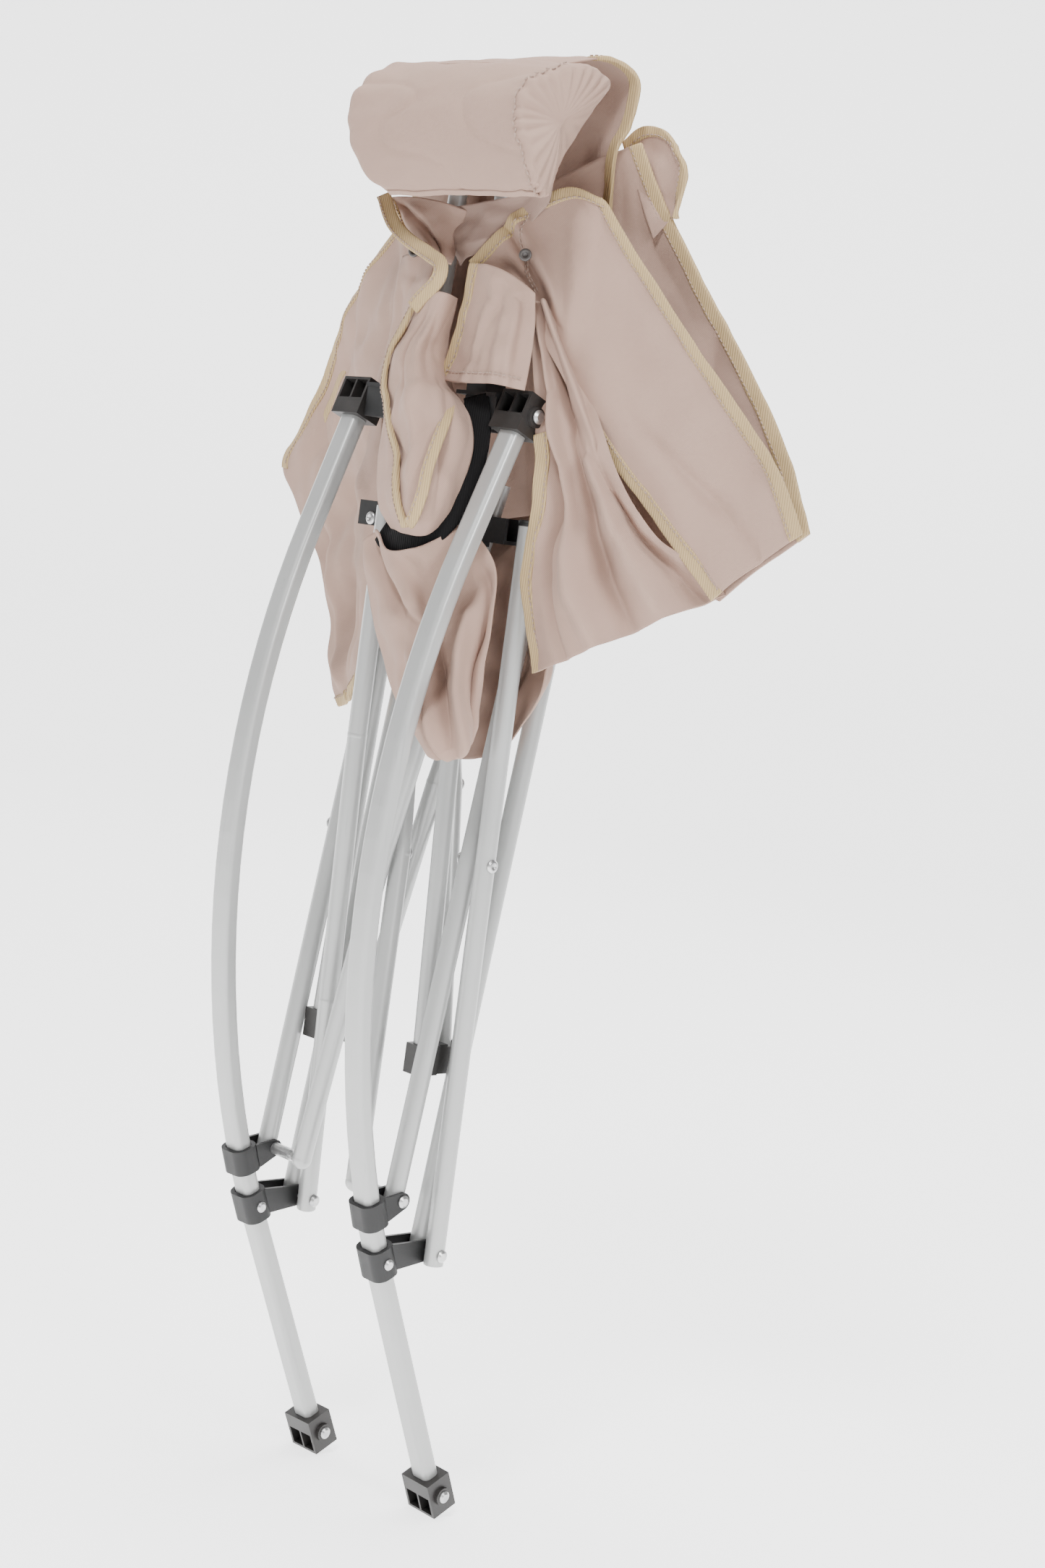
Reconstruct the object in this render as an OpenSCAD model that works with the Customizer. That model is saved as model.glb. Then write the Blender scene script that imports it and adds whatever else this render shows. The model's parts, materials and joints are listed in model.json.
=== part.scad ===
// Folding camp chair, folded and standing on its front feet. Millimetres, +Z up, +X to the sitter's left,
// +Y to the back. The origin lies on the ground between the two front feet.

/* [Tubes] */
// Diameter of the crossing arms
arm_d = 16; // [12:0.5:16]
// Diameter of the two back posts
post_d = 15; // [12:0.5:15]
// Width of a bow tube, side to side
bow_w = 20; // [16:1:20]
// Depth of a bow tube, front to back
bow_t = 15; // [12:1:15]

/* [Bows] */
// Radius of the bowed stretch
bow_r = 760; // [700:5:800]
// Slope of the straight top stretch, degrees from upright
bow_top_angle = 20; // [18:1:22]
// Slope of the straight lower stretch, degrees from upright
bow_foot_angle = 25; // [20:1:28]
// Half the distance between the bows on the ground
bow_x = 76; // [74:1:80]

/* [Back posts] */
// Height of the posts' lower ends above the ground, folded
post_foot_z = 372; // [368:1:376]
// Height of the posts' upper ends
post_top_z = 1150; // [1100:5:1152]
// Half the distance between the posts at their lower ends
post_x = 63.2; // [62.8:0.1:63.4]

/* [Pivots] */
// Height of the pivot between bow and post
pivot_z = 888; // [884:1:890]
// Height of the riveted clamps' arm pins
lower_pin_z = 226; // [222:1:230]
// Height of the sliding clamps' arm pins
upper_pin_z = 269; // [266:1:272]
// Height of the sliders on the posts
slider_z = 798; // [794:1:802]

/* [Fabric] */
// Width of the padded headrest
headrest_w = 190; // [160:5:200]
// Height of the padded headrest
headrest_h = 100; // [80:5:104]
// Thickness of a folded fabric panel
panel_t = 14; // [8:1:16]

/* [Hidden] */
$fn = 64;
fit = 0.05;
pin_d = 6;
head_d = 10;
head_t = 2.4;
arm_x = 80.5;
ear_gap = arm_d + 0.8;
ear_t = 3;
outer_offset = ear_gap / 2 + ear_t + 0.2 + arm_d / 2;
left_offset = outer_offset + 1.2;
bow_centre = [661, 525];
bow_tilt = atan(0.0203);
post_lean = 0.054;
lower_pin_y = 8;
upper_pin_y = -26;
box_w = 32;
box_d = 24;
box_h = 32;
cell_pitch = (box_w - 3) / 2;
spacer_x = 34;
cross_gap = 9.4;
rear_pin = [50, 34, 374];

// Half the distance between the posts at height z
function post_at(z) = post_x - post_lean * (z - post_foot_z - 7);
// Half the distance between the bows at height z
function bow_at(z) = bow_x + tan(bow_tilt) * z;
// Depth and height of the bow's centre line where its slope is a degrees
function bow_point(a) = bow_centre + bow_r * [-cos(a), sin(a)];

// A rod from a to b
module rod(a, b, d) {
  v = b - a;
  tilt = acos(v[2] / norm(v));
  turn = atan2(v[1], v[0]);
  translate(a) rotate([0, tilt, turn]) cylinder(h = norm(v), d = d);
}

// A rod along X between two places
module rod_x(x1, x2, y, z, d) {
  translate([x1, y, z]) rotate([0, 90, 0]) cylinder(h = x2 - x1, d = d);
}

// A rivet head whose flat side is at x and whose dome points to side
module head_x(x, y, z, side, d = head_d) {
  translate([x, y, z]) rotate([0, side * 90, 0]) {
    cylinder(h = head_t * 0.4, d = d);
    translate([0, 0, head_t * 0.4]) cylinder(h = head_t * 0.6, d1 = d, d2 = d * 0.6);
  }
}

// A tube section with rounded corners
module bow_section(grow = 0) {
  r = 5 + grow;
  w = bow_t / 2 + grow - r;
  h = bow_w / 2 + grow - r;
  union() {
    square([2 * w, 2 * (h + r)], center = true);
    square([2 * (w + r), 2 * h], center = true);
    for (i = [-1, 1], j = [-1, 1]) translate([i * w, j * h]) circle(r = r, $fn = 32);
  }
}

// Puts a right side bow part, drawn in the plane x = 0, where the bow leans outwards
module bow_place(side) {
  mirror([side < 0 ? 1 : 0, 0, 0]) translate([bow_x, 0, 0]) rotate([0, bow_tilt, 0]) children();
}

// Puts children at the bow's point of slope a, with Z along the tube and +Y to its inner, back side
module along_bow(a) {
  p = bow_point(a);
  translate([0, p[0], p[1]]) rotate([-a, 0, 0]) children();
}

// Length of the straight stretches at the top and the foot
top_len = (pivot_z - bow_point(bow_top_angle)[1]) / cos(bow_top_angle);
foot_len = (bow_point(-bow_foot_angle)[1] - 14) / cos(bow_foot_angle);
pivot_y = bow_point(bow_top_angle)[0] + top_len * sin(bow_top_angle);

module bow(side) {
  color("silver") bow_place(side) {
    translate([0, bow_centre[0], bow_centre[1]]) rotate([90, 0, 90]) rotate([0, 0, 180 - bow_top_angle])
      rotate_extrude(angle = bow_top_angle + bow_foot_angle, $fn = 180) translate([bow_r, 0]) bow_section();
    along_bow(bow_top_angle) rotate([0, 0, 90]) linear_extrude(top_len - box_h / 2 + 4) bow_section();
    along_bow(-bow_foot_angle) rotate([180, 0, 90]) linear_extrude(foot_len - 8) bow_section();
  }
}

// The open box at a bow's end, with a rib between its two cells, drawn with Z along the tube,
// which enters from below
module end_box() {
  difference() {
    translate([-box_w / 2, -box_d / 2, -box_h / 2]) cube([box_w, box_d, box_h]);
    translate([0, 0, -box_h / 2 - 1]) rotate([0, 0, 90]) linear_extrude(13.1) bow_section(fit * 4);
    for (i = [0, 1]) translate([-box_w / 2 + 2.5 + i * cell_pitch, -box_d / 2 - 1, -box_h / 2 + 13.6])
      cube([cell_pitch - 2, box_d - 3, box_h - 16]);
  }
}

module front_foot(side) {
  color("dimgray") bow_place(side) along_bow(-bow_foot_angle) translate([0, 0, -foot_len]) rotate([180, 0, 0])
    mirror([0, 1, 0]) end_box();
  color("dimgray") bow_place(side) along_bow(-bow_foot_angle) for (s = [-1, 1])
    translate([s * (box_w / 2 + 1.4), 0, -foot_len]) rotate([0, 90, 0]) cylinder(h = 3.2, d = 15, center = true);
}

module bow_end(side) {
  color("dimgray") mirror([side < 0 ? 1 : 0, 0, 0]) difference() {
    bow_place(1) along_bow(bow_top_angle) translate([0, 0, top_len]) {
      end_box();
      translate([box_w / 2, 0, 0]) rotate([0, 90, 0]) cylinder(h = 3, d = 16);
    }
    rod_x(40, 140, pivot_y, pivot_z, pin_d + 2 * fit);
  }
}

// A clamp ring round the bow, with its rims, drawn at the bow's point of slope a
module clamp_ring(a, h) {
  along_bow(a) difference() {
    rotate([0, 0, 90]) translate([0, 0, -h / 2]) linear_extrude(h) bow_section(4.2);
    rotate([0, 0, 90]) translate([0, 0, -h / 2 - 1]) linear_extrude(h + 2) bow_section(0.6);
  }
}

// The slopes of the bow beside the two clamps
lower_slope = -asin((bow_centre[1] - 220) / bow_r);
upper_slope = -asin((bow_centre[1] - 260) / bow_r);

// One ear of a clamp, a plate between x1 and x2 that runs back from the ring at slope a to the pin
module ear(x1, x2, a, pin_y, pin_z, root_h, eye_d) {
  difference() {
    hull() {
      rod_x(x1, x2, pin_y, pin_z, eye_d);
      translate([x1, 0, 0]) along_bow(a) translate([0, bow_t / 2 + 1.4, -root_h / 2]) cube([x2 - x1, 2, root_h]);
    }
    rod_x(x1 - 1, x2 + 1, pin_y, pin_z, pin_d + 2 * fit);
  }
}

module ears(a, pin_y, pin_z, root_h, eye_d) {
  for (s = [-1, 1])
    ear(arm_x + s * (ear_gap + ear_t) / 2 - ear_t / 2, arm_x + s * (ear_gap + ear_t) / 2 + ear_t / 2,
      a, pin_y, pin_z, root_h, eye_d);
}

module lower_clamp(side) {
  color("#3a3a3c") {
    bow_place(side) clamp_ring(lower_slope, 26);
    mirror([side < 0 ? 1 : 0, 0, 0]) ears(lower_slope, lower_pin_y, lower_pin_z, 22, 17);
  }
}

module sliding_clamp(side) {
  color("#3a3a3c") {
    bow_place(side) clamp_ring(upper_slope, 22);
    mirror([side < 0 ? 1 : 0, 0, 0]) ears(upper_slope, upper_pin_y, upper_pin_z, 20, 14);
  }
}

// The pin through a riveted clamp's ears and both its arms, and the rivets that hold the clamp and the
// front foot on the bow.
// The long arm hangs on the +X face of both clamps, so out is +1 on the right side and -1 on the left.
module lower_pins(side) {
  y = bow_point(lower_slope)[0];
  out = arm_x;
  far = (ear_gap + ear_t * 2) / 2;
  color("lightgray") {
    if (side > 0) {
      rod_x(arm_x - far - 0.2, arm_x + outer_offset + arm_d / 2 + 0.3, lower_pin_y, lower_pin_z, pin_d);
      head_x(arm_x - far - 0.2, lower_pin_y, lower_pin_z, -1);
      head_x(arm_x + outer_offset + arm_d / 2 + 0.3, lower_pin_y, lower_pin_z, 1);
    } else {
      rod_x(-out - far - 0.2, -out + left_offset + arm_d / 2 + 1.2, lower_pin_y, lower_pin_z, pin_d);
      head_x(-out - far - 0.2, lower_pin_y, lower_pin_z, -1);
      head_x(-out + left_offset + arm_d / 2 + 1.2, lower_pin_y, lower_pin_z, 1);
    }
    bow_place(side) for (s = [-1, 1]) head_x(s * (bow_w / 2 + 4.2), y, 220, s, 9);
    bow_place(side) along_bow(-bow_foot_angle) for (s = [-1, 1]) head_x(s * (box_w / 2 + 3), 0, -foot_len, s, 10);
  }
}

// The bolt through a sliding clamp's ears, with the long spacer that holds a cross arm on its inner side
module spacer_bolt(side) {
  far = ear_gap / 2 + ear_t + 0.2;
  color("lightgray") mirror([side < 0 ? 1 : 0, 0, 0]) {
    rod_x(spacer_x + arm_d / 2 + 0.6, arm_x + far, upper_pin_y, upper_pin_z, pin_d);
    rod_x(spacer_x + arm_d / 2 + 0.6, spacer_x + arm_d / 2 + 3, upper_pin_y, upper_pin_z, 7.5);
    difference() {
      rod_x(spacer_x + arm_d / 2 + 5, arm_x - far, upper_pin_y, upper_pin_z, 10);
      rod_x(spacer_x + arm_d / 2 + 4, arm_x - far + 1, upper_pin_y, upper_pin_z, pin_d - 0.2);
    }
    head_x(arm_x + far, upper_pin_y, upper_pin_z, 1);
  }
}

module post(side) {
  z2 = post_top_z;
  color("silver") difference() {
    rod([side * post_at(post_foot_z), 0, post_foot_z], [side * post_at(z2), 0, z2], post_d);
    rod([side * post_at(post_foot_z - 10), 0, post_foot_z - 10], [side * post_at(z2 + 10), 0, z2 + 10], post_d - 3);
  }
}

// The foot of a post: a ribbed pad under the post with two ears behind it for the rear arms
module rear_foot(side) {
  x = post_at(post_foot_z);
  color("dimgray") mirror([side < 0 ? 1 : 0, 0, 0]) {
    difference() {
      union() {
        translate([x - 9.5, -9.5, 364]) cube([18.1, 20.5, 24]);
        translate([x - 22, 11, 364]) cube([27.4, 11, 24]);
      }
      rod([x, 0, post_foot_z - 0.01], [post_at(400), 0, 400], post_d + 2 * fit);
      for (i = [0, 1]) translate([x - 20 + i * 12.2, 13, 363]) cube([10.2, 7, 18]);
    }
    for (y = [22, 44.2]) difference() {
      translate([x - 22, y, 364]) cube([27.4, 3.4, 22]);
      translate([rear_pin[0], y - 1, rear_pin[2]]) rotate([-90, 0, 0]) cylinder(h = 6, d = pin_d + 2 * fit);
    }
    translate([x - 22, 22, 364]) cube([27.4, 25.6, 1.5]);
  }
}

// The bracket that clasps a post and carries the bow's pivot pin
module pivot_bracket(side) {
  z1 = pivot_z - 14;
  x = post_at(pivot_z);
  reach = bow_at(pivot_z) - box_w / 2 - 2;
  color("#2a2a2c") mirror([side < 0 ? 1 : 0, 0, 0]) difference() {
    union() {
      translate([x - 11, -11, z1]) cube([22, 21, 38]);
      translate([x + 6, pivot_y - 10, z1 + 2]) cube([reach - x - 6, 20, 24]);
      translate([x - 4, pivot_y - 12, z1 + 26]) cube([reach - x + 4, 22, 3]);
    }
    rod([post_at(z1 - 9), 0, z1 - 9], [post_at(z1 + 60), 0, z1 + 60], post_d + 2 * fit);
    rod_x(reach - 14, reach + 5, pivot_y, pivot_z, pin_d + 2 * fit);
  }
}

// The slider on a post: a collar, an arm out to the long arm and a lug back to the rear arm
module slider(side) {
  x = post_at(slider_z);
  reach = 86.8;
  color("#2a2a2c") mirror([side < 0 ? 1 : 0, 0, 0]) {
    difference() {
      union() {
        translate([x - 9.2, -8.6, slider_z - 13]) cube([20.2, 19, 26]);
        translate([x + 9, -8.6, slider_z - 9]) cube([reach - x - 9, 3, 20]);
        translate([x + 9, 5, slider_z - 9]) cube([reach - x - 9, 3, 20]);
        translate([x + 9, -8.6, slider_z - 9]) cube([reach - x - 9, 16.6, 3]);
        translate([x + 6, 9, slider_z - 8]) cube([4, 30, 18]);
      }
      rod([post_at(slider_z - 30), 0, slider_z - 30], [post_at(slider_z + 30), 0, slider_z + 30], post_d + 2 * fit);
    }
  }
}

// A straight tube arm that hangs on a pin along X at a
module pinned_arm(a, b) {
  v = (b - a) / norm(b - a);
  color("silver") difference() {
    rod(a - v * 9, b, arm_d);
    rod(b - v * 14, b + v, arm_d - 3);
    rod_x(a[0] - arm_d, a[0] + arm_d, a[1], a[2], pin_d + 2 * fit);
  }
}

long_top = [arm_x + outer_offset, 3.7, slider_z + 8];
module right_long_arm() {
  pinned_arm([arm_x + outer_offset, lower_pin_y, lower_pin_z], long_top);
}

// The left long arm bends in front of the left post, which it hangs inside of
module left_long_arm() {
  a = [-arm_x + left_offset, lower_pin_y, lower_pin_z];
  b = [-42, -13, 400];
  c = [-42, -18.6, 620];
  d = [-40, -20.5, slider_z + 8];
  v = (b - a) / norm(b - a);
  color("silver") difference() {
    union() {
      rod(a - v * 9, b, arm_d);
      translate(b) sphere(d = arm_d + 0.4);
      rod(b, c, arm_d);
      translate(c) sphere(d = arm_d + 0.4);
      rod(c, d, arm_d);
    }
    rod_x(a[0] - arm_d, a[0] + arm_d, a[1], a[2], pin_d + 2 * fit);
  }
}

// The short arms hang between the sliding clamps' ears and lean back
module short_arm(side) {
  pinned_arm([side * arm_x, upper_pin_y, upper_pin_z], [side * arm_x, 39, 804]);
}

// The back arms hang between the riveted clamps' ears, behind the short arms
module back_arm(side) {
  pinned_arm([side * arm_x, lower_pin_y, lower_pin_z], [side * arm_x, 72, 790]);
}

// A cross arm: round end on the spacer bolt, a slight bend where it crosses its partner at x = 0
module cross_arm(side) {
  a = [-side * spacer_x, upper_pin_y, upper_pin_z];
  b = [0, -2.3 - side * cross_gap, 531];
  c = [side * 34, 19, 786];
  v = (c - b) / norm(c - b);
  color("silver") {
    translate(a) sphere(d = arm_d + 0.4);
    rod(a, b, arm_d);
    translate(b) sphere(d = arm_d + 0.4);
    rod(b, c + v * 50, arm_d);
  }
}

// A rear arm of the crossed pair behind the posts
module rear_arm(side) {
  a = [-side * rear_pin[0], rear_pin[1], rear_pin[2]];
  b = [0, 45 - side * cross_gap, 589];
  c = [side * 50, 50, 804];
  color("silver") difference() {
    union() {
      translate(a) sphere(d = arm_d + 0.4);
      rod(a, b, arm_d);
      translate(b) sphere(d = arm_d + 0.4);
      rod(b, c, arm_d);
    }
    translate([a[0], a[1] - 10, a[2]]) rotate([-90, 0, 0]) cylinder(h = 20, d = pin_d + 2 * fit);
  }
}

// The bolts through the rear feet, on which the rear arms turn, and the bows' pivot pins
module rivets(side) {
  pin_x = bow_at(pivot_z) + box_w / 2 + 4;
  color("lightgray") {
    translate([side * rear_pin[0], 22.2, rear_pin[2]]) rotate([-90, 0, 0]) cylinder(h = 26, d = pin_d);
    translate([side * rear_pin[0], 48, rear_pin[2]]) rotate([-90, 0, 0]) cylinder(h = 2.4, d1 = head_d, d2 = 6);
    mirror([side < 0 ? 1 : 0, 0, 0]) {
      rod_x(bow_at(pivot_z) - box_w / 2 - 15.5, pin_x, pivot_y, pivot_z, pin_d);
      head_x(pin_x, pivot_y, pivot_z, 1, 11);
    }
  }
}

// The plug in a post's upper end
module tube_plug(side) {
  color("#2a2a2c")
    rod([side * post_at(post_top_z), 0, post_top_z], [side * post_at(post_top_z + 4), 0, post_top_z + 4], post_d);
}

// Soft parts, as plain closed solids
module headrest() {
  color("#c0aaa0") translate([-headrest_w / 2 + 12, -84, 1046]) cube([headrest_w, 62, headrest_h]);
}

module back_panel() {
  color("#b09c92") translate([-95, 12, 905]) cube([200, 26, 252]);
}

module seat_sling() {
  color("#b09c92") translate([-70, -80, 742]) cube([140, 50, 120]);
}

// A side panel, flat and stiff, that stands out and back from its post
module wing(side) {
  color("#c0aaa0") mirror([side < 0 ? 1 : 0, 0, 0]) translate([118, 26, 0]) rotate([90, 0, 15])
    translate([0, 0, -panel_t / 2]) linear_extrude(panel_t)
      polygon([[0, 745], [60, 745], [120, 775], [198, 833], [0, 1052]]);
}

post(-1);  // left_post
rear_foot(-1);  // left_rear_foot
pivot_bracket(-1);  // left_pivot_bracket
post(1);  // right_post
rear_foot(1);  // right_rear_foot
pivot_bracket(1);  // right_pivot_bracket
bow(-1);  // left_bow_tube
front_foot(-1);  // left_front_foot
bow_end(-1);  // left_bow_end
lower_clamp(-1);  // left_lower_clamp
lower_pins(-1);  // left_lower_pins
bow(1);  // right_bow_tube
front_foot(1);  // right_front_foot
bow_end(1);  // right_bow_end
lower_clamp(1);  // right_lower_clamp
lower_pins(1);  // right_lower_pins
sliding_clamp(-1);  // left_upper_clamp
spacer_bolt(-1);  // left_spacer_bolt
sliding_clamp(1);  // right_upper_clamp
spacer_bolt(1);  // right_spacer_bolt
left_long_arm();  // left_long_tube
right_long_arm();  // right_long_tube
short_arm(-1);  // left_short_tube
short_arm(1);  // right_short_tube
back_arm(-1);  // left_back_tube
back_arm(1);  // right_back_tube
cross_arm(1);  // left_cross_tube
cross_arm(-1);  // right_cross_tube
rear_arm(1);  // left_rear_tube
rear_arm(-1);  // right_rear_tube
slider(-1);  // left_slider_block
slider(1);  // right_slider_block
rivets(-1);  // left_rivets
rivets(1);  // right_rivets
tube_plug(-1);  // left_plug
tube_plug(1);  // right_plug
headrest();
back_panel();
seat_sling();
wing(-1);  // left_wing
wing(1);  // right_wing
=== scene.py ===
import json
import math
import random
import bmesh
import bpy
from mathutils import Matrix, Vector, noise

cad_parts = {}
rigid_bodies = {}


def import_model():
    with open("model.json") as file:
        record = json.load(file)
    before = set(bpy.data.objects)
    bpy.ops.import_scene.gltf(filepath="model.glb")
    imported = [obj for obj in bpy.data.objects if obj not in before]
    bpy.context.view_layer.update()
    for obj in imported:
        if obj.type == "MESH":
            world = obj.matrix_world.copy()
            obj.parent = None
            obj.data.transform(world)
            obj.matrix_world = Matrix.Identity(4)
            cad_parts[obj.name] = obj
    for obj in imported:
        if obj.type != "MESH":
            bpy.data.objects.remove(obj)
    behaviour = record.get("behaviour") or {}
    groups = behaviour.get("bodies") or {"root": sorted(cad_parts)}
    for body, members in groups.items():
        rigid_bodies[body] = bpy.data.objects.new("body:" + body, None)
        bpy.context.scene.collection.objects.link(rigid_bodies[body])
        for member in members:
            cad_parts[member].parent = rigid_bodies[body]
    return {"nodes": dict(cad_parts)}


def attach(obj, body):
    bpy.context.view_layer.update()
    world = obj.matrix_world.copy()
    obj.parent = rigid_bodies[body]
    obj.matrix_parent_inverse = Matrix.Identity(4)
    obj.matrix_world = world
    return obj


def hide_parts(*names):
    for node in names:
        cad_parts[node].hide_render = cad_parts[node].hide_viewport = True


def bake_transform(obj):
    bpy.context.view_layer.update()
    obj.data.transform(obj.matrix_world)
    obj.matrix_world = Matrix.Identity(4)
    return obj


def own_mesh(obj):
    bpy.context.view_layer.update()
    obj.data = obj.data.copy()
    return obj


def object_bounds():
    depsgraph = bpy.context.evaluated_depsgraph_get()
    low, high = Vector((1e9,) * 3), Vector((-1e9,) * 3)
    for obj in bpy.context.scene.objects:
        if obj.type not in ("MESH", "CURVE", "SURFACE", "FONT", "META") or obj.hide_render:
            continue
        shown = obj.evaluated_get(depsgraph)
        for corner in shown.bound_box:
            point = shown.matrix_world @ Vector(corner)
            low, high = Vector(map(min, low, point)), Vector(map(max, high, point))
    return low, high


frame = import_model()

lo_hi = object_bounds()
LOW = Vector(lo_hi[0])
MM = 0.001


def mm(p):
    return Vector((p[0] * MM, p[1] * MM, p[2] * MM))


# ---- camera ----
def make_camera():
    data = bpy.data.cameras.new("camera")
    cam = bpy.data.objects.new("camera", data)
    bpy.context.scene.collection.objects.link(cam)
    right = Vector((0.69130, 0.70992, 0.13463)).normalized()
    back = Vector((0.70375, -0.70375, 0.09733)).normalized()
    up = back.cross(right).normalized()
    right = up.cross(back).normalized()
    cam.matrix_world = Matrix((
        (right.x, up.x, back.x, 1.5421), (right.y, up.y, back.y, -1.4075),
        (right.z, up.z, back.z, 0.8042), (0, 0, 0, 1)))
    data.sensor_fit = "VERTICAL"
    data.sensor_height = 36.0
    data.lens = 59.78
    data.clip_end = 50
    bpy.context.scene.camera = cam


make_camera()


# ---- materials ----
class Nodes:
    def __init__(self, name):
        self.mat = bpy.data.materials.new(name)
        self.mat.use_nodes = True
        self.t = self.mat.node_tree
        self.b = self.t.nodes["Principled BSDF"]

    def new(self, kind, **sets):
        n = self.t.nodes.new(kind)
        for k, v in sets.items():
            if hasattr(n, k) and not isinstance(v, (tuple,)) and k not in n.inputs:
                setattr(n, k, v)
            else:
                n.inputs[k].default_value = v
        return n

    def link(self, a, out, b, inp):
        self.t.links.new(a.outputs[out], b.inputs[inp])

    def coords(self, scale=(1, 1, 1)):
        c = self.new("ShaderNodeTexCoord")
        m = self.new("ShaderNodeMapping")
        m.inputs["Scale"].default_value = scale
        self.link(c, "Object", m, "Vector")
        return m

    def noise(self, src, scale, detail=3.0, rough=0.5):
        n = self.new("ShaderNodeTexNoise")
        n.inputs["Scale"].default_value = scale
        n.inputs["Detail"].default_value = detail
        n.inputs["Roughness"].default_value = rough
        self.link(src, "Vector", n, "Vector")
        return n

    def ramp(self, src, out, stops):
        r = self.new("ShaderNodeValToRGB")
        e = r.color_ramp.elements
        e[0].position, e[0].color = stops[0][0], (*stops[0][1], 1)
        e[1].position, e[1].color = stops[-1][0], (*stops[-1][1], 1)
        for pos, col in stops[1:-1]:
            x = e.new(pos)
            x.color = (*col, 1)
        self.link(src, out, r, "Fac")
        return r

    def bump(self, src, out, strength, distance, normal=None):
        b = self.new("ShaderNodeBump")
        b.inputs["Strength"].default_value = strength
        b.inputs["Distance"].default_value = distance
        self.link(src, out, b, "Height")
        if normal is not None:
            self.link(normal, "Normal", b, "Normal")
        return b


def lin(r, g, b):
    return tuple(
        (c / 255 / 12.92) if c / 255 <= 0.04045 else ((c / 255 + 0.055) / 1.055) ** 2.4
        for c in (r, g, b))


def woven(name, base, shade, pitch, ribs=None, rough=0.82, sheen=0.06):
    k = Nodes(name)
    b = k.b
    c = k.coords()
    sep = k.new("ShaderNodeSeparateXYZ")
    k.link(c, "Vector", sep, "Vector")
    # threads run up and across; the across one follows x and y together so that it shows on every side
    add = k.new("ShaderNodeMath", operation="ADD")
    k.link(sep, "X", add, 0)
    k.link(sep, "Y", add, 1)
    waves = []
    for src, out in ((add, "Value"), (sep, "Z")):
        mul = k.new("ShaderNodeMath", operation="MULTIPLY")
        mul.inputs[1].default_value = 2 * math.pi / pitch
        k.link(src, out, mul, 0)
        sn = k.new("ShaderNodeMath", operation="SINE")
        k.link(mul, "Value", sn, 0)
        waves.append(sn)
    if ribs:
        weave = waves[0]
    else:
        weave = k.new("ShaderNodeMath", operation="MULTIPLY")
        k.link(waves[0], "Value", weave, 0)
        k.link(waves[1], "Value", weave, 1)
    big = k.noise(c, 7.0, 3.0)
    fine = k.noise(c, 900.0, 2.0)
    rb = k.ramp(big, "Fac", [(0.3, tuple(x * 0.93 for x in base)), (0.7, base)])
    mix = k.new("ShaderNodeMix", data_type="RGBA")
    fac = k.new("ShaderNodeMapRange")
    fac.inputs["From Min"].default_value = -1
    fac.inputs["From Max"].default_value = 1
    fac.inputs["To Min"].default_value = 0.0
    fac.inputs["To Max"].default_value = 0.45
    k.link(weave, "Value", fac, "Value")
    k.t.links.new(fac.outputs["Result"], mix.inputs[0])
    k.t.links.new(rb.outputs["Color"], mix.inputs[6])
    mix.inputs[7].default_value = (*shade, 1)
    k.t.links.new(mix.outputs[2], b.inputs["Base Color"])
    b1 = k.bump(weave, "Value", 0.35, pitch * 0.25)
    b2 = k.bump(fine, "Fac", 0.2, 0.0003, b1)
    crush = k.noise(c, 32.0, 4.0, 0.6)
    b3 = k.bump(crush, "Fac", 0.45, 0.0030, b2)
    k.link(b3, "Normal", b, "Normal")
    b.inputs["Roughness"].default_value = rough
    b.inputs["Sheen Weight"].default_value = sheen
    b.inputs["Sheen Roughness"].default_value = 0.45
    b.inputs["Specular IOR Level"].default_value = 0.15
    return k.mat


def coated(name, base, worn):
    k = Nodes(name)
    b = k.b
    c = k.coords()
    orange = k.noise(c, 420.0, 2.0)
    big = k.noise(c, 9.0, 4.0)
    scratch = k.coords((60, 60, 1.4))
    sc = k.noise(scratch, 6.0, 5.0, 0.7)
    r = k.ramp(big, "Fac", [(0.32, tuple(x * 0.94 for x in base)), (0.66, base)])
    mix = k.new("ShaderNodeMix", data_type="RGBA")
    line = k.ramp(sc, "Fac", [(0.62, (0, 0, 0)), (0.70, (0.45, 0.45, 0.45))])
    k.t.links.new(line.outputs["Color"], mix.inputs[0])
    k.t.links.new(r.outputs["Color"], mix.inputs[6])
    mix.inputs[7].default_value = (*worn, 1)
    k.t.links.new(mix.outputs[2], b.inputs["Base Color"])
    rr = k.new("ShaderNodeMapRange")
    rr.inputs["To Min"].default_value = 0.28
    rr.inputs["To Max"].default_value = 0.44
    k.t.links.new(big.outputs["Fac"], rr.inputs["Value"])
    k.t.links.new(rr.outputs["Result"], b.inputs["Roughness"])
    n = k.bump(orange, "Fac", 0.10, 0.0004)
    n2 = k.bump(sc, "Fac", 0.06, 0.0004, n)
    k.link(n2, "Normal", b, "Normal")
    b.inputs["Metallic"].default_value = 0.35
    b.inputs["Coat Weight"].default_value = 0.25
    b.inputs["Coat Roughness"].default_value = 0.25
    return k.mat


def moulded(name, base, rough=0.42):
    k = Nodes(name)
    b = k.b
    c = k.coords()
    grain = k.noise(c, 1300.0, 2.0)
    big = k.noise(c, 60.0, 3.0)
    r = k.ramp(big, "Fac", [(0.3, tuple(x * 0.8 for x in base)), (0.75, tuple(min(1, x * 1.35) for x in base))])
    k.t.links.new(r.outputs["Color"], b.inputs["Base Color"])
    rr = k.new("ShaderNodeMapRange")
    rr.inputs["To Min"].default_value = rough - 0.08
    rr.inputs["To Max"].default_value = rough + 0.12
    k.t.links.new(big.outputs["Fac"], rr.inputs["Value"])
    k.t.links.new(rr.outputs["Result"], b.inputs["Roughness"])
    n = k.bump(grain, "Fac", 0.22, 0.0003)
    k.link(n, "Normal", b, "Normal")
    return k.mat


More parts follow.
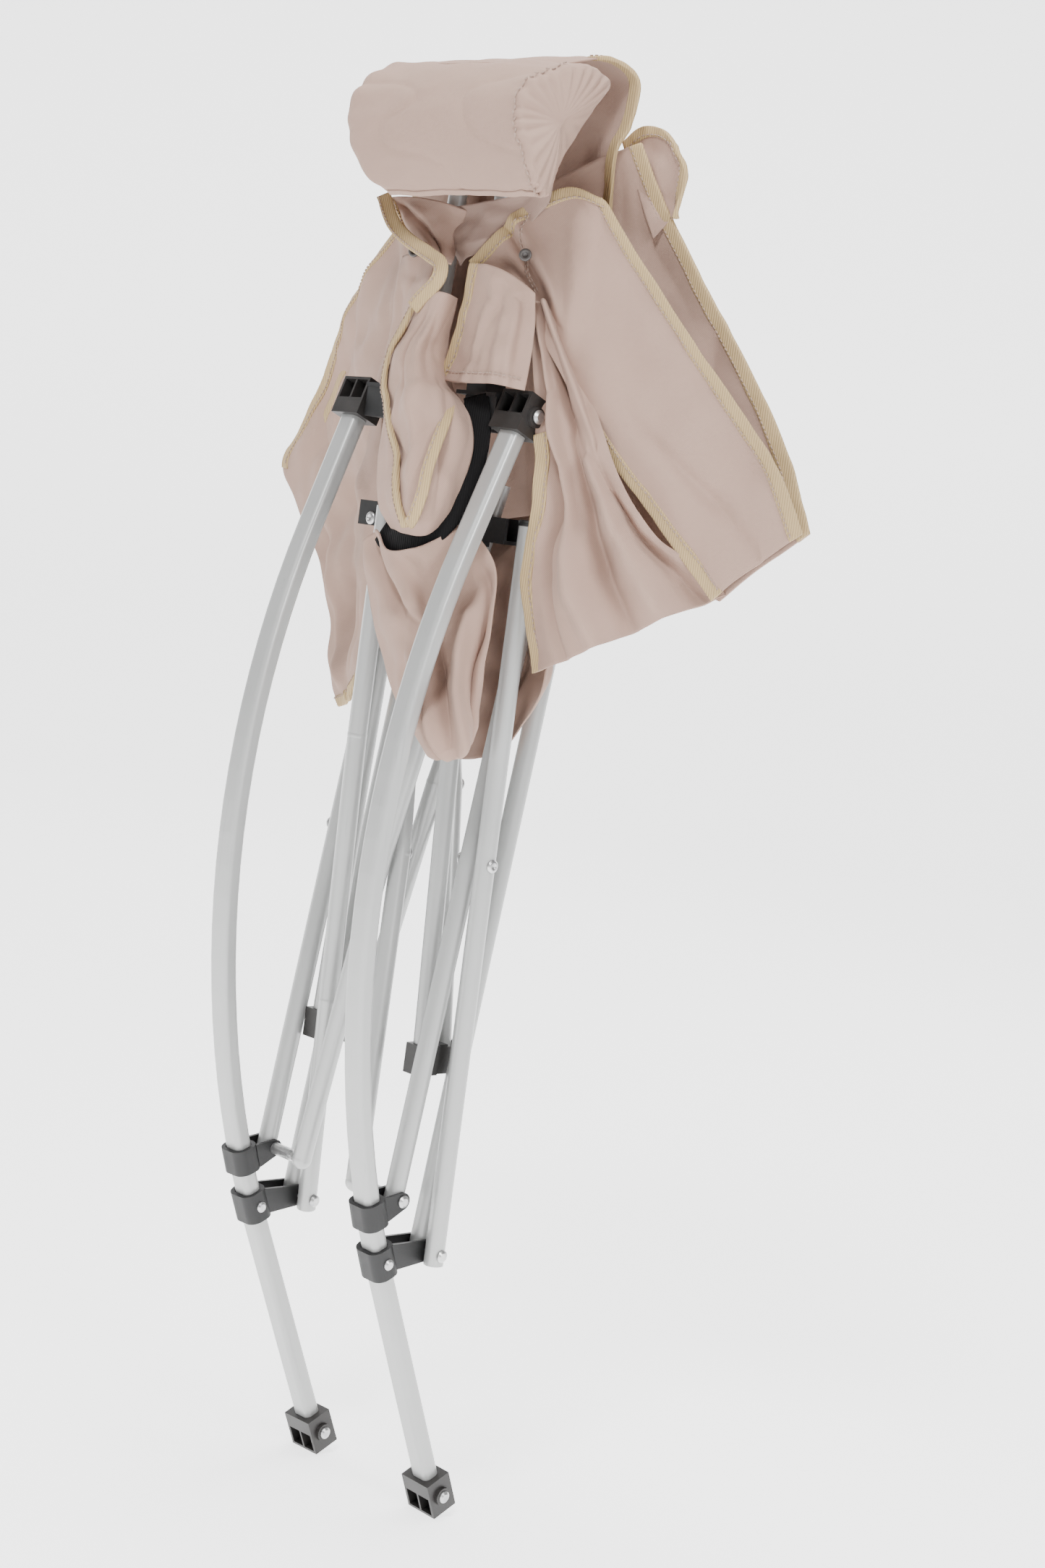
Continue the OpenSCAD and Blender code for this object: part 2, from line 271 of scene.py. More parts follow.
def plated(name):
    k = Nodes(name)
    b = k.b
    c = k.coords()
    big = k.noise(c, 160.0, 4.0)
    r = k.ramp(big, "Fac", [(0.3, (0.42, 0.42, 0.43)), (0.7, (0.66, 0.66, 0.65))])
    k.t.links.new(r.outputs["Color"], b.inputs["Base Color"])
    b.inputs["Metallic"].default_value = 0.9
    b.inputs["Roughness"].default_value = 0.34
    n = k.bump(big, "Fac", 0.15, 0.0005)
    k.link(n, "Normal", b, "Normal")
    return k.mat


CLOTH = woven("cloth_taupe", lin(176, 148, 134), lin(134, 108, 96), 0.0013)
# a darker copy of the taupe cloth: painted shade for the gathered centre, which sits back in shadow
CLOTH_PAINTED_SHADE = woven("cloth_taupe_painted_shade", lin(160, 136, 125), lin(122, 100, 90), 0.0013)
TAPE = woven("tape_beige", lin(186, 162, 122), lin(128, 106, 74), 0.0024, ribs=True, rough=0.85, sheen=0.05)
WEB = woven("webbing_black", lin(14, 14, 15), lin(5, 5, 6), 0.0024, ribs=True, rough=0.8, sheen=0.0)
THREAD = woven("thread", lin(168, 146, 134), lin(140, 120, 110), 0.0008, ribs=True)
TUBE = coated("tube_coat", lin(176, 177, 176), lin(148, 149, 150))
PLASTIC = moulded("plastic_charcoal", lin(38, 36, 35))
BLACK = moulded("plastic_black", lin(16, 16, 17), 0.5)
ZINC = plated("zinc")
DARKZINC = moulded("eyelet_dark", lin(70, 66, 64), 0.35)

for name, o in frame["nodes"].items():
    if name.endswith(("_tube", "_post")):
        m = TUBE
    elif name.endswith(("pins", "bolt", "rivets")):
        m = ZINC
    elif name.endswith(("foot", "bow_end")):
        m = PLASTIC
    else:
        m = BLACK
    if len(o.material_slots) == 0:
        o.data.materials.append(m)
    for s in o.material_slots:
        s.material = m


# ---- shapes ----
def add(name, verts, faces, mat, body, slot="fabric", smooth=True):
    me = bpy.data.meshes.new(name)
    me.from_pydata([tuple(v) for v in verts], [], faces)
    me.update()
    o = bpy.data.objects.new(name, me)
    bpy.context.scene.collection.objects.link(o)
    me.materials.append(mat)
    if smooth:
        me.shade_smooth()
    if body:
        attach(o, body)
    return o


def spline(p, t):
    """Point at t in 0..1 on a smooth line through the points p."""
    n = len(p) - 1
    x = min(max(t, 0.0), 1.0) * n
    i = min(int(x), n - 1)
    f = x - i
    a, b = p[i], p[i + 1]
    z = p[i - 1] if i > 0 else a * 2 - b
    c = p[i + 2] if i + 2 <= n else b * 2 - a
    return 0.5 * (a * 2 + (b - z) * f + (z * 2 - a * 5 + b * 4 - c) * f * f
                  + (a * 3 - z - b * 3 + c) * f ** 3)


class Sheet:
    """A smooth cloth surface through a net of points, with folds added across it."""

    def __init__(self, net, nu, nv, folds=0.0, seed=1, scale=14.0, pleats=(), ridge=(0.0, 10.0)):
        rows = [[mm(p) for p in row] for row in net]
        self.nu, self.nv = nu, nv
        along = [[spline(row, i / nu) for i in range(nu + 1)] for row in rows]
        self.g = []
        for j in range(nv + 1):
            self.g.append([spline([r[i] for r in along], j / nv) for i in range(nu + 1)])
        self.base = [[v.copy() for v in row] for row in self.g]
        off = Vector((seed * 3.7, seed * 1.9, seed * 5.3))
        for j in range(nv + 1):
            for i in range(nu + 1):
                u, v = i / nu, j / nv
                n = self.normal(i, j)
                edge = min(u, 1 - u, v, 1 - v)
                w = 0.35 + 0.65 * min(1, edge * 5)
                p = self.base[j][i]
                d = noise.fractal(p * scale + off, 0.7, 2.0, 3) * folds * w
                sharp = (1 - abs(noise.noise(Vector((p.x, p.y, p.z * 0.4)) * ridge[1] + off))) ** 3
                d += sharp * ridge[0] * w
                for pu, pv, qu, qv, amp, width in pleats:
                    ax, ay = qu - pu, qv - pv
                    ln = ax * ax + ay * ay
                    tt = min(1, max(0, ((u - pu) * ax + (v - pv) * ay) / ln))
                    dist = math.hypot(u - pu - tt * ax, v - pv - tt * ay)
                    fade = math.sin(math.pi * min(1, 0.12 + 0.88 * tt)) ** 0.5 if tt < 1 else 0
                    d += amp * math.exp(-(dist / width) ** 2) * max(0, fade)
                self.g[j][i] = p + n * d

    def normal(self, i, j):
        b = self.base
        du = b[j][min(i + 1, self.nu)] - b[j][max(i - 1, 0)]
        dv = b[min(j + 1, self.nv)][i] - b[max(j - 1, 0)][i]
        n = du.cross(dv)
        return n.normalized() if n.length > 1e-12 else Vector((0, -1, 0))

    def flat(self):
        def length(pts):
            return sum((pts[k + 1] - pts[k]).length for k in range(len(pts) - 1))
        w = max(length(row) for row in self.g)
        h = max(length([row[i] for row in self.g]) for i in range(0, self.nu + 1, max(1, self.nu // 6)))
        return w, h

    def edge(self, side, t0=0.0, t1=1.0):
        """Points along an edge, with the inward direction and the normal at each."""
        out = []
        if side in ("left", "right"):
            i = 0 if side == "left" else self.nu
            k = 1 if side == "left" else self.nu - 1
            r = range(int(t0 * self.nv), int(t1 * self.nv) + 1)
            seq = [(self.g[j][i], self.g[j][k], self.true_normal(i, j)) for j in r]
        else:
            j = 0 if side == "top" else self.nv
            k = 1 if side == "top" else self.nv - 1
            r = range(int(t0 * self.nu), int(t1 * self.nu) + 1)
            seq = [(self.g[j][i], self.g[k][i], self.true_normal(i, j)) for i in r]
        for p, q, n in seq:
            d = q - p
            d = (d - n * d.dot(n))
            out.append((p, d.normalized() if d.length > 1e-9 else Vector((1, 0, 0)), n))
        return out

    def true_normal(self, i, j):
        b = self.g
        du = b[j][min(i + 1, self.nu)] - b[j][max(i - 1, 0)]
        dv = b[min(j + 1, self.nv)][i] - b[max(j - 1, 0)][i]
        n = du.cross(dv)
        return n.normalized() if n.length > 1e-12 else Vector((0, -1, 0))

    def build(self, name, body, mat=None, thick=0.0013, backing=None):
        verts, faces = [], []
        w = self.nu + 1
        top = []
        for j in range(self.nv + 1):
            for i in range(w):
                n = self.true_normal(i, j)
                verts.append(self.g[j][i] + n * thick / 2)
                top.append(self.g[j][i] - n * thick / 2)
        m = len(verts)
        verts += top
        for j in range(self.nv):
            for i in range(self.nu):
                a = j * w + i
                faces.append((a, a + 1, a + w + 1, a + w))
                faces.append((m + a + w, m + a + w + 1, m + a + 1, m + a))
        ring = [i for i in range(w)] + [j * w + self.nu for j in range(1, self.nv + 1)]
        ring += (
            [self.nv * w + i for i in range(self.nu - 1, -1, -1)]
            + [j * w for j in range(self.nv - 1, 0, -1)])
        for k in range(len(ring)):
            a, b = ring[k], ring[(k + 1) % len(ring)]
            faces.append((b, a, m + a, m + b))
        o = add(name, verts, faces, mat or CLOTH, body)
        fw, fh = self.flat()
        return o


def tape(name, edge, body, width=0.0115, thick=0.0036, out=0.0016, mat=None, wave=0.0007, seed=3):
    """A folded binding along an edge: it wraps the edge and is sewn through."""
    prof = []
    n = 18
    for k in range(n):
        a = 2 * math.pi * k / n
        ca, sa = math.cos(a), math.sin(a)
        x = (abs(ca) ** 0.35) * (1 if ca >= 0 else -1)
        y = (abs(sa) ** 0.35) * (1 if sa >= 0 else -1)
        prof.append(((x + 1) / 2 * width - out, y * thick / 2))
    pts = edge
    verts, faces = [], []
    for s, (p, d, nn) in enumerate(pts):
        wv = noise.noise(p * 60 + Vector((seed, 0, 0))) * wave
        for x, y in prof:
            puff = 1 + 0.25 * noise.noise(p * 150 + Vector((0, seed, x * 200)))
            verts.append(p + d * (x + wv) + nn * (y * puff))
    for s in range(len(pts) - 1):
        for k in range(n):
            a = s * n + k
            b = s * n + (k + 1) % n
            faces.append((a, b, b + n, a + n))
    faces.append(tuple(range(n - 1, -1, -1)))
    faces.append(tuple(range((len(pts) - 1) * n, len(pts) * n)))
    return add(name, verts, faces, mat or TAPE, body)


def stitches(name, line, body, step=0.0042, length=0.003, r=0.00055, lift=0.0006):
    """A row of sewn stitches along points with normals."""
    verts, faces = [], []
    acc = [0.0]
    for k in range(len(line) - 1):
        acc.append(acc[-1] + (line[k + 1][0] - line[k][0]).length)
    total = acc[-1]
    pos = step / 2
    k = 0
    while pos + length < total:
        while k < len(acc) - 2 and acc[k + 1] < pos:
            k += 1
        seg = max(acc[k + 1] - acc[k], 1e-9)
        f = (pos - acc[k]) / seg
        p = line[k][0].lerp(line[k + 1][0], f)
        t = (line[k + 1][0] - line[k][0]).normalized()
        n = line[k][1]
        s = t.cross(n).normalized()
        c = p + n * lift
        base = len(verts)
        for q, rr in ((-0.5, 0.35), (-0.3, 1), (0.3, 1), (0.5, 0.35)):
            for a in range(6):
                an = math.pi * a / 3
                verts.append(c + t * q * length + (n * math.sin(an) + s * math.cos(an)) * r * rr)
        for q in range(3):
            for a in range(6):
                x = base + q * 6 + a
                y = base + q * 6 + (a + 1) % 6
                faces.append((x, y, y + 6, x + 6))
        faces.append(tuple(base + a for a in range(5, -1, -1)))
        faces.append(tuple(base + 18 + a for a in range(6)))
        pos += step
    return add(name, verts, faces, THREAD, body)


def bound(sheet, name, side, body, t0=0.0, t1=1.0, front=1, width=0.0115):
    e = sheet.edge(side, t0, t1)
    a = tape(name + "_binding", e, body, width=width)
    lines = [(p + d * (width - 0.0035), n * front) for p, d, n in e]
    b = stitches(name + "_stitching", [(p + n * 0.0016, n) for p, n in lines], body)
    return [a, b]


# ---- fabric: nets of points in millimetres, rows from top to bottom, seen from the front ----
LF, RF, FC = "left_frame", "right_frame", "fabric_centre"

back = Sheet([
    [(-76, -54, 1140), (-36, -56, 1146), (10, -56, 1148), (58, -54, 1146), (98, -44, 1142)],
    [(-82, -32, 1150), (-38, -30, 1155), (10, -30, 1156), (62, -26, 1156), (110, -18, 1154)],
    [(-86, 0, 1152), (-38, 2, 1156), (10, 4, 1158), (72, 4, 1161), (120, 4, 1160)],
    [(-90, 24, 1142), (-38, 28, 1150), (10, 30, 1152), (70, 30, 1154), (131, 24, 1148)],
    [(-92, 32, 1116), (-38, 34, 1122), (10, 36, 1124), (66, 36, 1126), (122, 30, 1116)],
    [(-94, 36, 1086), (-40, 40, 1090), (10, 42, 1092), (64, 42, 1092), (109, 32, 1090)],
    [(-96, 38, 1010), (-44, 46, 1012), (10, 44, 1014), (64, 48, 1010), (108, 42, 1012)],
    [(-98, 44, 930), (-46, 54, 924), (10, 50, 930), (64, 56, 926), (110, 50, 930)],
    [(-96, 66, 862), (-44, 70, 852), (10, 64, 850), (64, 72, 852), (108, 70, 860)],
    [(-92, 88, 806), (-44, 86, 790), (10, 78, 782), (64, 88, 790), (104, 92, 804)],
], 64, 130, folds=0.005, seed=2, scale=9, ridge=(0.003, 16),
    pleats=[
        (0.3, 1.0, 0.42, 0.55, 0.010, 0.05), (0.62, 1.0, 0.55, 0.5, -0.010, 0.06),
        (0.1, 0.9, 0.2, 0.5, 0.008, 0.05), (0.85, 1.0, 0.8, 0.5, 0.009, 0.05),
    ])
back_o = back.build("back_cloth", None)
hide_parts("back_panel")
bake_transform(back_o)
bound(back, "back_right", "right", RF, 0.17, 0.62)
bound(back, "back_left", "left", LF, 0.17, 0.62)
bound(back, "back_right_low", "right", RF, 0.62, 1.0)
bound(back, "back_left_low", "left", LF, 0.62, 1.0)

wing_front = Sheet([
    [(30, -30, 1001), (46, -24, 1021), (65, -14, 1045), (98, -2, 1063), (126, 8, 1057)],
    [(76, -24, 979), (100, -16, 990), (121, -4, 1005), (140, 8, 1013), (164, 18, 1013)],
    [(109, -8, 937), (133, 0, 945), (157, 12, 954), (183, 22, 961), (211, 32, 961)],
    [(155, 10, 876), (184, 14, 887), (209, 24, 896), (233, 34, 905), (258, 44, 912)],
    [(202, 22, 833), (226, 28, 844), (251, 37, 853), (276, 46, 862), (297, 54, 868)],
    [(264, 40, 770), (279, 44, 786), (294, 50, 800), (309, 56, 814), (322, 62, 826)],
], 80, 120, folds=0.010, seed=5, scale=7, ridge=(0.002, 14),
    pleats=[
        (0.42, 0.02, 0.18, 0.33, -0.006, 0.03), (0.35, 0.02, 0.10, 0.30, 0.006, 0.03),
        (0.75, 0.06, 0.10, 0.42, -0.004, 0.035), (0.15, 0.1, 0.05, 0.35, 0.006, 0.05),
        (0.3, 0.62, 0.55, 1.0, 0.005, 0.06),
    ])
wing_front.build("right_wing_front", RF)
bound(wing_front, "wing_front", "right", RF, 0, 1, front=-1)
bound(wing_front, "wing_top", "top", RF, 0, 1, front=-1)
bound(wing_front, "wing_lower", "left", RF, 0.58, 1, front=-1)

wing_rear = Sheet([
    [(43, 22, 1069), (71, 26, 1081), (97, 32, 1094), (126, 40, 1105)],
    [(52, 24, 1010), (87, 30, 1019), (116, 40, 1037), (154, 48, 1056)],
    [(70, 26, 943), (130, 42, 946), (172, 52, 973), (204, 60, 990)],
    [(84, 32, 870), (160, 54, 890), (214, 62, 914), (256, 70, 927)],
    [(120, 40, 812), (200, 60, 832), (256, 66, 856), (290, 74, 879)],
    [(264, 47, 770), (281, 55, 788), (300, 62, 806), (322, 70, 827)],
], 60, 100, folds=0.012, seed=8, scale=7, ridge=(0.004, 14))
wing_rear_o = wing_rear.build("right_wing_rear", RF)
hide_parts("right_wing")
bound(wing_rear, "wing_rear", "right", RF, 0, 1, front=-1)

flap = Sheet([
    [(103, 46, 1106), (118, 50, 1118), (140, 50, 1116), (158, 48, 1104)],
    [(118, 46, 1082), (136, 50, 1092), (153, 52, 1094), (169, 50, 1085)],
    [(134, 46, 1056), (148, 50, 1063), (159, 50, 1066), (166, 50, 1066)],
    [(146, 48, 1034), (154, 50, 1044), (160, 50, 1050), (164, 48, 1050)],
], 30, 40, folds=0.005, seed=9, scale=20)
flap.build("corner_flap", RF)
bound(flap, "flap_side", "right", RF, 0, 1, front=-1, width=0.010)
bound(flap, "flap_top", "top", RF, 0, 1, front=-1, width=0.010)

drape = Sheet([
    [(90, -20, 972), (98, -18, 976), (106, -12, 974), (113, -2, 962)],
    [(102, -18, 919), (116, -14, 924), (132, -6, 922), (149, 4, 907)],
    [(112, -14, 862), (132, -14, 870), (158, -4, 868), (185, 10, 848)],
    [(116, -14, 815), (144, -16, 822), (180, 2, 826), (222, 22, 808)],
    [(116, -12, 760), (150, -14, 770), (196, 4, 784), (258, 44, 790)],
    [(124, 4, 694), (172, -4, 712), (215, 14, 738), (270, 45, 776)],
], 90, 130, folds=0.018, seed=12, scale=9, ridge=(0.008, 13),
    pleats=[
        (0.30, -0.02, 0.62, 0.42, 0.016, 0.06), (0.48, -0.02, 0.80, 0.36, -0.012, 0.05),
        (0.12, 0.02, 0.22, 0.55, 0.010, 0.05), (0.50, 1.02, 0.30, 0.25, -0.016, 0.055),
        (0.66, 1.02, 0.50, 0.35, 0.014, 0.04), (0.80, 1.02, 0.62, 0.42, -0.018, 0.05),
        (0.28, 1.02, 0.14, 0.4, 0.010, 0.05), (0.92, 1.0, 0.78, 0.5, 0.012, 0.04),
        (0.12, 0.0, 0.35, 0.45, -0.008, 0.05),
    ])
drape.build("right_drape", RF)
bound(drape, "drape_front", "left", RF, 0.36, 1, front=-1)

sleeve = Sheet([
    [(34, -32, 1000), (62, -38, 998), (84, -34, 991), (99, -22, 980)],
    [(34, -34, 972), (68, -44, 969), (94, -42, 964), (106, -24, 957)],
    [(28, -38, 937), (64, -48, 935), (92, -46, 935), (108, -26, 930)],
    [(20, -38, 908), (60, -48, 907), (90, -46, 908), (108, -28, 906)],
], 50, 50, folds=0.008, seed=15, scale=16, ridge=(0.004, 18),
    pleats=[
        (0.55, 1.0, 0.5, 0.1, 0.004, 0.08), (0.8, 1.0, 0.75, 0.2, -0.006, 0.06),
        (0.3, 1.0, 0.35, 0.3, -0.004, 0.05),
    ])
sleeve.build("right_sleeve", RF)
bound(sleeve, "sleeve_left", "left", RF, 0, 1, front=-1)
stitches("sleeve_hem", [(p + d * 0.008 - n * 0.001, -n) for p, d, n in sleeve.edge("bottom")], RF)

left_flap = Sheet([
    [(-92, -20, 1052), (-59, -24, 1052), (-18, -24, 1048), (8, -20, 1042)],
    [(-73, -24, 1041), (-42, -30, 1036), (-12, -28, 1028), (1, -18, 1023)],
    [(-45, -28, 1021), (-17, -34, 1013), (0, -34, 1008), (5, -24, 1005)],
    [(-24, -32, 1006), (-4, -40, 1003), (8, -40, 1000), (14, -34, 998)],
], 40, 40, folds=0.006, seed=18, scale=16, pleats=[(0.2, 0.2, 0.8, 0.8, 0.006, 0.07)])
left_flap.build("left_flap", FC)
bound(left_flap, "left_flap", "left", FC, 0, 1, front=-1)

pouch = Sheet([
    [(5, -46, 972), (20, -52, 974), (28, -48, 974), (26, -34, 972)],
    [(-12, -50, 945), (12, -60, 945), (25, -52, 947), (23, -34, 946)],
    [(-20, -54, 924), (8, -68, 925), (26, -56, 926), (25, -32, 923)],
    [(-21, -56, 901), (18, -74, 901), (40, -60, 903), (36, -34, 904)],
    [(-19, -56, 877), (33, -80, 878), (62, -68, 881), (58, -36, 884)],
    [(-19, -56, 851), (40, -84, 852), (72, -74, 855), (70, -38, 859)],
    [(-17, -56, 825), (40, -84, 824), (75, -76, 827), (72, -44, 830)],
    [(-5, -58, 802), (42, -80, 801), (71, -73, 804), (70, -50, 812)],
    [(12, -60, 789), (37, -68, 787), (60, -68, 788), (66, -58, 797)],
], 70, 120, folds=0.008, seed=21, scale=13, ridge=(0.004, 22),
    pleats=[
        (0.3, 0.1, 0.36, 0.42, 0.006, 0.05), (0.55, 0.15, 0.5, 0.5, -0.008, 0.06),
        (0.42, 0.3, 0.47, 0.85, -0.006, 0.06), (0.75, 0.4, 0.7, 0.9, 0.005, 0.06),
    ])
pouch.build("front_pouch", FC)

left_wing = Sheet([
    [(-111, 14, 1039), (-86, 0, 1036), (-66, -10, 1033), (-48, -18, 1025)],
    [(-175, 40, 986), (-127, 20, 989), (-90, 0, 990), (-48, -16, 989)],
    [(-242, 64, 927), (-183, 44, 930), (-129, 20, 939), (-78, -8, 943)],
    [(-286, 80, 865), (-227, 60, 872), (-160, 32, 882), (-93, 8, 892)],
    [(-305, 84, 828), (-235, 62, 823), (-160, 34, 830), (-90, 14, 838)],
    [(-247, 70, 773), (-197, 54, 772), (-142, 30, 780), (-88, 15, 787)],
    [(-191, 56, 719), (-160, 44, 722), (-124, 26, 727), (-85, 12, 734)],
    [(-172, 50, 670), (-142, 38, 671), (-110, 20, 679), (-81, 8, 691)],
    [(-136, 40, 634), (-118, 30, 638), (-98, 14, 646), (-78, 2, 658)],
], 70, 140, folds=0.014, seed=25, scale=9, ridge=(0.006, 14),
    pleats=[
        (0.6, 0.45, 0.5, 1.0, 0.008, 0.08), (0.3, 0.5, 0.35, 0.95, -0.008, 0.07),
    ])
left_wing_o = left_wing.build("left_wing_cloth", LF)
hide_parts("left_wing")
bound(left_wing, "left_wing_upper", "left", LF, 0, 0.5, front=-1)
bound(left_wing, "left_wing_lower", "bottom", LF, 0, 1, front=-1)
for o in [
        o for o in bpy.data.objects
        if o.name.startswith(("left_wing_cloth", "left_wing_upper", "left_wing_lower"))]:
    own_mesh(o)

left_rear = Sheet([
    [(-118, 40, 1085), (-92, 34, 1080), (-66, 30, 1072), (-42, 24, 1060)],
    [(-150, 50, 1020), (-112, 44, 1016), (-80, 36, 1008), (-50, 28, 1000)],
    [(-205, 66, 950), (-160, 56, 940), (-110, 46, 936), (-66, 30, 934)],
    [(-256, 82, 880), (-205, 70, 876), (-150, 58, 876), (-92, 42, 866)],
    [(-288, 90, 828), (-240, 80, 812), (-180, 70, 806), (-116, 60, 800)],
], 60, 90, folds=0.014, seed=28, scale=8, ridge=(0.005, 14))
left_rear.build("left_wing_rear", LF)
bound(left_rear, "left_wing_rear_side", "left", LF, 0, 1)
bound(left_rear, "left_wing_rear_low", "bottom", LF, 0, 1)

bag = Sheet([
    [(-27, -51, 776), (-9, -57, 787), (20, -68, 773), (56, -72, 777), (74, -57, 792), (78, -44, 805)],
    [(-13, -52, 733), (26, -68, 733), (60, -72, 737), (78, -50, 744), (96, -40, 754), (106, -34, 773)],
    [(3, -52, 699), (43, -68, 703), (68, -62, 707), (88, -52, 711), (104, -42, 720), (114, -36, 728)],
    [(24, -50, 665), (62, -63, 669), (86, -60, 673), (100, -54, 678), (108, -45, 686), (113, -36, 694)],
    [(53, -46, 639), (84, -58, 641), (104, -60, 643), (117, -56, 648), (119, -49, 656), (114, -38, 667)],
    [(70, -40, 621), (90, -46, 620), (104, -49, 622), (112, -48, 626), (114, -43, 633), (111, -36, 646)],
], 80, 120, folds=0.012, seed=31, scale=11, ridge=(0.006, 15),
    pleats=[
        (0.12, 0.03, 0.4, 0.35, 0.010, 0.05), (0.5, 0.06, 0.45, 0.9, 0.009, 0.06),
        (0.7, 0.3, 0.6, 1.0, -0.012, 0.05), (0.3, 0.5, 0.4, 1.0, -0.012, 0.05),
        (0.88, 0.2, 0.8, 1.0, 0.010, 0.05), (0.18, 0.55, 0.25, 1.0, 0.010, 0.05),
    ])
bag_o = bag.build("seat_bag", FC)
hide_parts("seat_sling")
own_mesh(bag_o)

centre = Sheet([
    [(-20, -18, 1044), (20, -20, 1048), (56, -18, 1054), (92, -12, 1062)],
    [(-12, -14, 1020), (18, -20, 1024), (48, -16, 1034), (84, -8, 1046)],
    [(6, -16, 1000), (18, -24, 1004), (30, -22, 1008), (60, -14, 1020)],
], 40, 30, folds=0.010, seed=34, scale=18)
# the centre gather takes the darker cloth copy, so its shade is painted into the colour
centre.build("centre_gather", FC, mat=CLOTH_PAINTED_SHADE)

inner = Sheet([
    [(30, 28, 806), (52, 36, 812), (80, 50, 818), (112, 44, 812)],
    [(34, 24, 744), (58, 32, 750), (84, 46, 752), (116, 34, 744)],
    [(34, 20, 672), (60, 30, 678), (88, 38, 688), (118, 20, 696)],
    [(36, 18, 614), (56, 24, 618), (78, 32, 630), (104, 24, 660)],
], 44, 80, folds=0.010, seed=41, scale=12, ridge=(0.007, 16),
    pleats=[
        (0.3, 0.3, 0.4, 1.0, 0.010, 0.08), (0.7, 0.2, 0.6, 1.0, -0.008, 0.07),
    ])
inner.build("inner_drape", RF)

left_sleeve = Sheet([
    [(-66, -16, 1006), (-44, -27, 1006), (-22, -30, 1004), (-6, -34, 998)],
    [(-70, -15, 962), (-46, -27, 962), (-22, -34, 960), (-8, -42, 958)],
    [(-70, -16, 920), (-46, -32, 918), (-24, -40, 917), (-12, -48, 917)],
], 40, 40, folds=0.007, seed=44, scale=16, ridge=(0.005, 18))
left_sleeve.build("left_sleeve", LF)


def run_tape(name, pts, body, face, width=0.0115, steps=90):
    """A binding that follows its own line and faces one way."""
    line = [spline([mm(p) for p in pts], k / steps) for k in range(steps + 1)]
    faces = [Vector(q) for q in face] if isinstance(face, list) else [Vector(face)] * 2
    e = []
    for k, p in enumerate(line):
        t = (line[min(k + 1, steps)] - line[max(k - 1, 0)]).normalized()
        f = spline(faces, k / steps)
        f = (f - t * f.dot(t)).normalized()
        e.append((p, t.cross(f).normalized(), f))
    tape(name, e, body, width=width)
    stitches(name + "_stitching", [(p + d * (width - 0.0035) + n * 0.0016, n) for p, d, n in e], body)


run_tape("gather_binding", [
    (-71, -34, 1052), (-55, -40, 1037), (-39, -42, 1024), (-8, -45, 1011),
    (20, -50, 1001), (29, -52, 990),
    (26, -53, 979), (14, -54, 968), (4, -55, 958)], FC, (0.6, -0.8, 0.1))


def over(sheet, a, b, lift, steps=60):
    """Points on a sheet from (u, v) a through b's, lifted off it towards the front."""
    out, norms = [], []
    for k in range(steps + 1):
        q = spline([Vector((*p, 0)) for p in (a, *b)], k / steps)
        i, j = min(sheet.nu, max(0, round(q.x * sheet.nu))), min(sheet.nv, max(0, round(q.y * sheet.nv)))
        n = sheet.true_normal(i, j)
        n = n if n.y < 0 else -n
        out.append(sheet.g[j][i] + n * lift)
        norms.append(n)
    mean = [
        [sum((w[max(0, min(steps, k + d))] for d in range(-3, 4)), Vector()) / 7
         for k in range(0, steps + 1, 4)]
        for w in (out, norms)]
    return [tuple(v / MM) for v in mean[0]], [tuple(v) for v in mean[1]]


for nm, a, b in (
        ("pouch_inner_binding", (0.97, 0.40),
         ((0.84, 0.50), (0.70, 0.62), (0.61, 0.76), (0.56, 0.88), (0.50, 0.94))),
        ("pouch_left_binding", (0.03, 0.02),
         ((0.03, 0.15), (0.03, 0.28), (0.04, 0.37), (0.10, 0.46), (0.24, 0.62),
          (0.35, 0.78), (0.47, 0.95)))):
    line, norms = over(pouch, a, b, 0.0034)
    if nm == "pouch_inner_binding":
        line = [
            tuple(
                sum(line[max(0, min(len(line) - 1, k + d))][c] for d in (-2, -1, 0, 1, 2)) / 5
                + (5.5, -5.5, 0)[c]
                for c in range(3))
            for k in range(len(line))]
        norms = (0.6, -0.78, 0.15)
    run_tape(nm, line, FC, norms, width=0.009)
seam_line = over(wing_front, (0.50, 0.02), ((0.36, 0.06), (0.2, 0.14), (0.1, 0.24)), 0.0008)[0]
for k, dx in enumerate((0, 2.2)):
    stitches("wing_seam_%d" % k, [
        (mm((p[0] + dx, p[1] - 0.5, p[2] + dx * 0.6)), Vector((0.5, -0.85, 0.1)))
        for p in seam_line], RF)


